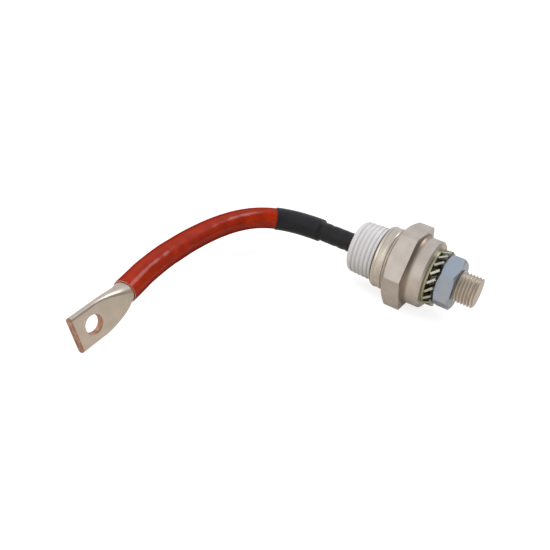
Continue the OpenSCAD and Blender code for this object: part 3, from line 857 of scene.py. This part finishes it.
@dataclass
class Route:
    """The lead's middle line, from the ceramic's end to the mouth of the red sleeve.

    The points give the run along -X past the ferrule, the way towards -Y, and the share of the climb from the
    height of the lug's mouth to the stud's axis.
    """

    exit_x: float = -21.85
    ferrule_run: float = 17.5
    yaw: float = 10.0
    drop: float = 11.0
    mouth: Triple = (23.8, 92.3, 11.451)
    barrel: float = 8.0
    points: Sequence[Triple] = (
        (-17.5, 0, 1), (-9, 0, 1), (-1.5, 0, 1), (0, 0, 1), (2, 0, 1),
        (6.5, 0.6, 1), (11, 1.6, 1), (15.5, 3.3, 1), (19.5, 5.8, 1), (23, 9.2, 1), (26, 13.8, 1),
        (28.2, 19.8, 1), (29.5, 26.3, 1), (30.1, 33, 1), (30.2, 40, 1), (29.9, 47, 1), (29.3, 54, 1),
        (28.4, 60.5, 1), (27.6, 67, 0.97), (26.8, 73.2, 0.84))
    samples: int = 12
    way: np.ndarray = field(init=False)
    lengths: np.ndarray = field(init=False)

    def __post_init__(self) -> None:
        """Works out the line and the length along it."""
        turn, fall = math.radians(self.yaw), math.radians(self.drop)
        level = math.cos(fall)
        ahead = np.array([level * math.sin(turn), -level * math.cos(turn), -math.sin(fall)])
        mouth = np.array(self._lifted(self.mouth[0], self.mouth[1], 0))
        ends = [mouth - back * ahead for back in (self.barrel + 4, self.barrel, 1, 0)]
        self.way = np.array([*(self._lifted(*p) for p in self.points), *ends])
        last = len(self.way) - 1
        fine = np.array([self._curve(u) for u in np.linspace(0, last, last * self.samples + 1)])
        self.lengths = np.r_[0, np.cumsum(np.linalg.norm(np.diff(fine, axis=0), axis=1))]

    def _lifted(self, run: float, side: float, climb: float) -> Triple:
        """A given point in the row frame."""
        low = self.mouth[2]
        return self.exit_x - self.ferrule_run - run, -side, low + climb * (AXIS.height / MM - low)

    def _slope(self, i: int) -> np.ndarray:
        """The line's slope at a given point."""
        last = len(self.way) - 1
        return (self.way[min(i + 1, last)] - self.way[max(i - 1, 0)]) / (1 if i in (0, last) else 2)

    def _curve(self, u: float) -> np.ndarray:
        """The smooth line between the given points."""
        i = min(int(u), len(self.way) - 2)
        t = u - i
        return ((2 * t**3 - 3 * t**2 + 1) * self.way[i] + (t**3 - 2 * t**2 + t) * self._slope(i)
                + (3 * t**2 - 2 * t**3) * self.way[i + 1] + (t**3 - t**2) * self._slope(i + 1))

    def length(self) -> float:
        """The line's whole length."""
        return float(self.lengths[-1])

    def length_at(self, point: int) -> float:
        """Length along at one of the given points."""
        return float(self.lengths[point * self.samples])

    def at(self, s: float) -> Vector:
        """The place in metres at a length along."""
        u = float(np.interp(s, self.lengths, np.arange(len(self.lengths)))) / self.samples
        return Vector(self._curve(u) * MM)

    def ring(self, skin: Skin, s: float, radius: Curve, count: int = 48) -> range:
        """A ring of points round the line at a length along, its radius by angle from the side."""
        step = 0.4
        ahead = (self.at(min(s + step, self.length())) - self.at(max(s - step, 0.0))).normalized()
        side = ahead.cross(Vector((0, 0, 1))).normalized()
        place, up = self.at(s), side.cross(ahead)
        return skin.ring(place + float(radius(a)) * MM * (math.cos(a) * side + math.sin(a) * up)
                         for a in round_angles(count))


@dataclass
class Lead:
    """The lead: stranded copper in a red sleeve, with a black shrink sleeve over its crimp."""

    route: Route
    rope_r: float = 3.1
    rope_crimped: float = 2.95
    rope_in_lug: float = 2.3
    rope_from: float = 8.5
    rope_short: float = 1.0
    ferrule_end: float = 17.0
    barrel: float = 8.0
    strand_groups: int = 9
    strand_lay: float = 60.0
    strand_depth: float = 0.05
    red_from: float = 17.5
    red_in: float = 4.09
    red_out: float = 4.44
    black_from: float = 0.05
    black_start_in: float = 3.77
    black_start_out: float = 4.08
    black_in: float = 4.49
    black_out: float = 4.79
    black_end_point: int = 8
    step_at: float = 16.6
    step_len: float = 0.8
    crimps: Sequence[Pair] = ((4.5, 0.3), (8.5, 2.2), (12.5, 1.0), (16.3, 0.5))
    dent: float = 0.26
    dent_w: float = 0.7
    dent_share: Pair = (0.6, 0.4)
    mouth_edge: float = 0.08
    mouth_w: float = 0.12
    black_mouth_w: float = 0.1

    def build(self, lug: Piece) -> list[Piece]:
        """Args:
            lug: the lug on the lead's far end; not used.

        Returns:
            The new objects.
        """
        red, black = self.red_sleeve(), self.black_sleeve()
        rope, path = self.rope()
        length = sum((b - a).length for a, b in zip(path, path[1:]))
        self.route.at(0.0)
        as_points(path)
        return [rope, red, black]

    def rope(self) -> tuple[Piece, list[Vector]]:
        """Builds the rope of strands, pressed thinner in the ferrule and in the lug."""
        route, ferrule_end = self.route, self.ferrule_end
        end, barrel = route.length() - self.rope_short, route.length() - self.barrel
        skin, rings = Skin(), []
        stops = [*np.arange(self.rope_from, ferrule_end, 1.2), ferrule_end, ferrule_end + 0.8]
        stops += [*np.arange(ferrule_end + 2, barrel - 1.6, 1.5), barrel - 0.9, barrel]
        stops += [barrel + 3.5, end]
        for s in stops:
            free = ferrule_end < s < barrel
            size = self.rope_r if free else self.rope_crimped if s <= ferrule_end else self.rope_in_lug
            lobe, turn = self.strand_depth if free else 0.0, s * TURN / self.strand_lay

            def radius(a: float, size: float = size, lobe: float = lobe, turn: float = turn) -> float:
                """The rope's radius, with a lobe for each strand group."""
                return size * (1 - lobe + lobe * math.cos(self.strand_groups * (a + turn)))

            rings.append(route.ring(skin, s, radius, 54))
        skin.solid(rings)
        made = skin.made("copper_rope", [Finish.COPPER], 50.0)
        return stands_for(made, "stranded_lead"), [route.at(s) for s in stops]

    def _sleeve(self, stops: Sequence[float], end: float, outer: Callable[[float, float], float],
                inner: Curve, mouth: int = 0) -> Skin:
        """Sweeps a sleeve along the route, its outer edge broken at the mouth.

        Args:
            stops: lengths along at which it has a ring.
            end: length along of its mouth.
            outer: outer radius by length along and angle.
            inner: inner radius by length along.
            mouth: number of the cut mouth's finish.

        Returns:
            The sleeve's mesh.
        """
        skin, ring = Skin(), self.route.ring
        out = [ring(skin, s, lambda a, s=s: outer(s, a)) for s in stops]
        out.append(ring(skin, end, lambda a: outer(end, a) - self.mouth_edge))
        back = [ring(skin, s, lambda a, s=s: inner(s)) for s in [end, *reversed(stops)]]
        skin.chain(out)
        skin.join(out[-1], back[0], mouth)
        skin.chain(back)
        skin.join(back[-1], out[0])
        return skin

    def red_sleeve(self) -> Piece:
        """Builds the red sleeve, its mouth cut square."""
        end = self.route.length()
        stops = [*np.arange(self.red_from, end - 0.6, 1.0), end - self.mouth_w]
        skin = self._sleeve(stops, end, lambda s, a: self.red_out, lambda s: self.red_in, 1)
        made = skin.made("red_tubing", [Finish.RED, Finish.RED_RIM], 40.0)
        return stands_for(made, "red_sleeve")

    def black_sleeve(self) -> Piece:
        """Builds the black sleeve, shrunk on to the crimp, with its step over the red sleeve's end."""
        end = self.route.length_at(self.black_end_point)

        def outer(s: float, a: float) -> float:
            """The outer radius, dented where the crimp presses."""
            rise = (self.black_out - self.black_start_out) * eased((s - self.step_at) / self.step_len)
            even, lobes = self.dent_share
            dents = (math.exp(-((s - c) / self.dent_w) ** 2) * (even + lobes * math.cos(3 * (a - turn)))
                     for c, turn in self.crimps)
            return self.black_start_out + rise - self.dent * sum(dents)

        def inner(s: float) -> float:
            """The inner radius, which widens to pass over the red sleeve's end."""
            rise = (self.black_in - self.black_start_in) * held((s - self.step_at) / self.step_len)
            return self.black_start_in + rise

        stops = [*np.arange(self.black_from, end - 0.3, 0.5), end - self.black_mouth_w]
        made = self._sleeve(stops, end, outer, inner).made("black_tubing", [Finish.BLACK], 50.0)
        return stands_for(made, "black_sleeve")


@dataclass
class Lug:
    """The terminal lug: a tube, pressed flat and bent outside its barrel, punched and cut square.

    Its near face is flush with the barrel's near side, and the flat leans back from the barrel round a hinge.
    """

    route: Route
    tube_r: float = 3.9
    wall: float = 1.55
    flat_t: float = 2.4
    width: float = 13.196
    length: float = 25.0
    barrel: float = 8.0
    press: float = 15.0
    press_power: float = 0.6
    bend: float = 12.0
    bend_rate: float = 1.5
    hinge_share: float = 1 / 3
    hole_r: float = 3.2
    hole_from_end: float = 7.2
    hole_rim: float = 0.3
    hole_burr: float = 0.06
    lean: float = 17.0
    seam: float = 0.2
    seam_depth: float = 1.2
    worn: float = 0.7
    lip: Sequence[Pair] = ((0.2, 0.0), (0.08, 0.04), (0.0, 0.15))
    past: float = 1.0
    count: int = 64
    crease: float = 30.0

    def frame(self) -> Matrix:
        """The lug's own frame: x out of its near face, y across its flat, z towards its cut end."""
        turn = Matrix.Rotation(math.radians(self.route.yaw), 4, "Z")
        fall = Matrix.Rotation(math.radians(90 + self.route.drop), 4, "X")
        lean = Matrix.Rotation(math.radians(self.lean), 4, "Z")
        place = Matrix.Translation(self.route.at(self.route.length()))
        return place @ turn @ fall @ lean @ Matrix.Scale(MM, 4)

    def _turned(self, x: float, y: float, z: float) -> Vector:
        """A point of the straight lug, turned with the flat."""
        bend, hinge = math.radians(self.bend), self.press * self.hinge_share
        return Vector((x * math.cos(bend) - (z - hinge) * math.sin(bend), y,
                       hinge + x * math.sin(bend) + (z - hinge) * math.cos(bend)))

    def _section(self, z: float, shrink: float = 0.0) -> list[Vector]:
        """A slot-shaped section on the way from the round tube to the flat."""
        share = eased(z / self.press) ** self.press_power
        bow = eased(self.bend_rate * z / self.press)
        r = self.tube_r + share * (self.flat_t / 2 - self.tube_r)
        reach = share * (self.width - self.flat_t) / 2
        made = []
        for a in round_angles(self.count, 0.5):
            side = (r - shrink) * math.sin(a) + math.copysign(reach, math.sin(a))
            point = self.tube_r - r + (r - shrink) * math.cos(a), side, z
            made.append(Vector(point).lerp(self._turned(*point), bow))
        return made

    def build(self) -> Piece:
        """Builds the lug."""
        skin, frame_now = Skin(), self.frame()
        stops = [-self.barrel, -0.5 * self.barrel, *np.linspace(0, self.press, 31),
                 *np.linspace(self.press + 1, self.length - self.worn, 10)]
        rings = [skin.ring(self._section(float(z))) for z in stops]
        lip = [skin.ring(self._section(self.length - z, deep)) for z, deep in self.lip]
        bore = self.tube_r - self.wall
        inside = [skin.ring(Vector((bore * math.cos(a), bore * math.sin(a), z))
                            for a in round_angles(self.count, 0.5)) for z in (-self.barrel, 0.0)]
        skin.chain(rings)
        skin.chain([rings[-1], *lip], finish=1)
        skin.chain([rings[0], *inside], finish=1)
        skin.cap(inside[1], 1)
        skin.cap(lip[-1], 1)
        skin.move(frame_now)
        made = skin.made("pressed_lug", [Finish.TIN, Finish.COPPER], self.crease)
        self._cut(made, frame_now)
        return stands_for(made, "terminal_lug")

    def _on_flat(self, x: float, y: float, z: float) -> Vector:
        """A point by its place on the flat, with x from the middle of its thickness."""
        return self._turned(x + self.tube_r - self.flat_t / 2, y, z)

    def _cut(self, lug: Piece, frame_now: Matrix) -> None:
        """Punches the hole, its near rim drawn in by the punch, and opens the seam at the cut end."""
        skin, past = Skin(), self.past
        middle, half, hole = self.length - self.hole_from_end, self.flat_t / 2, self.hole_r
        rim, back = self.hole_rim, self.hole_burr
        outline = [(hole + back + past, -half - past), (hole + back, -half), (hole, -half + back)]
        outline += [*arc((hole + rim, half - rim), rim, 180, 100, 6), (hole + rim + past, half + past)]
        skin.solid([skin.ring(self._on_flat(x, r * math.cos(a), middle + r * math.sin(a))
                              for a in round_angles(72)) for r, x in outline], 1)
        side, end, gap = self.width / 2 - self.flat_t, self.length, self.seam / 2
        corners = ((-gap, -side), (gap, -side), (gap, side), (-gap, side))
        skin.solid([skin.ring(self._on_flat(x, y, z) for x, y in corners)
                    for z in (end - self.seam_depth, end + past)], 1)
        skin.move(frame_now)
        cutter = skin.made("cutter", [Finish.TIN, Finish.COPPER])
        lug.modifiers.clear()
        cut = lug.modifiers.new("cut", "BOOLEAN")
        cut.operation, cut.solver, cut.object = "DIFFERENCE", "EXACT", cutter
        shown = bpy.context.evaluated_depsgraph_get()
        mesh = bpy.data.meshes.new_from_object(lug.evaluated_get(shown))
        lug.modifiers.clear()
        lug.data = mesh
        bpy.data.objects.remove(cutter)
        smoothed(lug, self.crease)


@dataclass
class Inside:
    """The pieces inside the case, kept as the CAD frame has them."""

    finishes: Sequence[tuple[Finish, str]] = (
        (Finish.RING, "seal_flange seal_tube"), (Finish.TIN, "solder_foil crimp_ferrule"),
        (Finish.MOLYBDENUM, "lower_disc upper_disc"), (Finish.SILICON, "silicon_wafer"),
        (Finish.SILICONE, "junction_coating"), (Finish.COPPER, "contact_pole inner_lead"),
        (Finish.MICA, "insulating_washer insulating_sleeve"),
        (Finish.STEEL, "pressure_plate disc_spring_1 disc_spring_2 disc_spring_3 spring_retainer"))

    def dress(self) -> list[Piece]:
        """Gives each piece its material, and returns the pieces."""
        pieces = []
        for finish, names in self.finishes:
            for name in names.split():
                pieces.append(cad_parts[name])
                pieces[-1].data.materials.clear()
                pieces[-1].data.materials.append(finish.material())
        return pieces


@dataclass
class Studio:
    """The camera, the pale floor and the soft light."""

    camera_at: Triple = (0.07115, -0.2401, 0.12986)
    right: Triple = (0.82873, 0.53743, 0.15614)
    up: Triple = (-0.37253, 0.32153, 0.87054)
    lens: float = 44.28
    sensor: float = 36.0
    clip: Pair = (0.005, 50.0)
    floor_size: float = 8.0
    floor_plain: Triple = (0.62, 0.58, 0.52)
    floor_pale: Triple = (0.93, 0.93, 0.93)
    floor_glow: float = 1.25
    floor_matt: float = 0.36
    mirrored: float = 0.15
    white: Triple = (1.0, 1.0, 1.0)
    front: Triple = (1.12, 1.11, 1.13)
    rear: Triple = (0.75, 0.75, 0.77)
    overhead: Triple = (0.84, 0.83, 0.86)
    sky: float = 0.9
    right_dim: float = 0.7
    back_step: Pair = (-0.5, 0.4)
    overhead_step: Pair = (0.45, 0.95)
    right_step: Pair = (0.2, 0.5)
    box: Triple = (0.32, 0.56, 0.76)
    box_width: Pair = (8.0, 14.0)
    box_strength: float = 8.0
    lamps: Sequence[tuple[str, Triple, float]] = (("key", (-0.25, -0.35, 0.7), 1.8),
                                                  ("fill", (0.6, -0.5, 0.5), 1.5))
    lamp_size: float = 0.4
    lamp_aim: Triple = (-0.02, -0.05, 0.01)

    def camera(self) -> None:
        """Places the camera of the photo."""
        data = bpy.data.cameras.new("camera")
        data.lens, data.sensor_width = self.lens, self.sensor
        data.clip_start, data.clip_end = self.clip
        made = linked("camera", data)
        right = Vector(self.right).normalized()
        back = right.cross(Vector(self.up)).normalized()
        turn = Matrix((right, back.cross(right), back)).transposed()
        made.matrix_world = Matrix.Translation(self.camera_at) @ turn.to_4x4()
        bpy.context.scene.camera = made

    def seen(self, graph: Graph) -> Value:
        """How much of the white background a ray sees: all by the camera and through glass, part in metal."""
        path = graph.node("ShaderNodeLightPath").outputs
        camera, glossy, through = (Value(graph, path[name])
                                   for name in ("Is Camera Ray", "Is Glossy Ray", "Is Transmission Ray"))
        return (camera + glossy * self.mirrored + through).clamped()

    def floor(self) -> None:
        """Lays the floor."""
        half = self.floor_size / 2
        corners = [(-half, -half, 0), (half, -half, 0), (half, half, 0), (-half, half, 0)]
        mesh = bpy.data.meshes.new("floor")
        mesh.from_pydata(corners, [], [(0, 1, 2, 3)])
        material = bpy.data.materials.new("floor")
        graph = Graph(material)
        plain = graph.node("ShaderNodeBsdfDiffuse", None, self.floor_plain)
        pale = graph.node("ShaderNodeBsdfDiffuse", None, self.floor_pale)
        glow = graph.node("ShaderNodeEmission", None, self.white, self.floor_glow)
        both = graph.blended(self.seen(graph), plain, graph.blended(self.floor_matt, glow, pale))
        graph.node("ShaderNodeOutputMaterial", None, both.outputs[0])
        mesh.materials.append(material)
        linked("floor", mesh)

    def light(self, name: str, place: Triple, power: float) -> None:
        """Hangs a soft square light that faces the diode and isn't mirrored in it."""
        data = bpy.data.lights.new(name, "AREA")
        data.size, data.energy = self.lamp_size, power
        made = linked(name, data)
        made.location = place
        made.rotation_mode = "QUATERNION"
        made.rotation_quaternion = (Vector(self.lamp_aim) - Vector(place)).to_track_quat("-Z", "Y")
        made.visible_glossy = False

    def world(self) -> None:
        """Sets a soft sky with one bright box, dimmer behind and overhead, and white to the camera."""
        made = bpy.data.worlds.new("studio")
        bpy.context.scene.world = made
        graph = Graph(made)
        way = graph.node("ShaderNodeTexCoord").outputs["Generated"]
        side, back, height = graph.parts(way)
        low = graph.mixed(back.eased(*self.back_step), self.front, self.rear)
        tone = graph.mixed(height.eased(*self.overhead_step), low, self.overhead)
        box = Vector(self.box).normalized()
        facing = graph.node("ShaderNodeVectorMath", {"operation": "DOT_PRODUCT"}, way, box).outputs["Value"]
        inner, outer = (math.cos(math.radians(angle)) for angle in self.box_width)
        lamp = Value(graph, facing).eased(outer, inner)
        bright = self.sky - side.eased(*self.right_step) * self.right_dim + lamp * self.box_strength
        lit = graph.node("ShaderNodeBackground", None, tone, bright)
        plain = graph.node("ShaderNodeBackground", None, self.white, 1.0)
        both = graph.blended(self.seen(graph), lit, plain)
        graph.node("ShaderNodeOutputWorld", None, both.outputs[0])

    def build(self) -> None:
        """Sets the whole studio up."""
        self.camera()
        self.floor()
        self.world()
        for lamp in self.lamps:
            self.light(*lamp)
        bpy.context.scene.view_settings.view_transform = "Standard"
        log.info("studio ready")


def main() -> None:
    """Builds the studio and the diode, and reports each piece."""
    logging.basicConfig(level=logging.INFO, format="%(name)s: %(message)s")
    Studio().build()
    route = Route()
    lug = Lug(route).build()
    pieces = [Base().build(), CaseRing().build(), Ceramic().build(), *Hardware().build(), lug,
              *Lead(route).build(lug), *Inside().dress()]
    for piece in pieces:
        log.info("%s: %d faces, %s", piece.name, len(piece.data.polygons), piece.data.materials[0].name)
    log.info("%d pieces, the lead %.1f mm long", len(pieces), route.length())


if __name__ == "__main__":
    main()
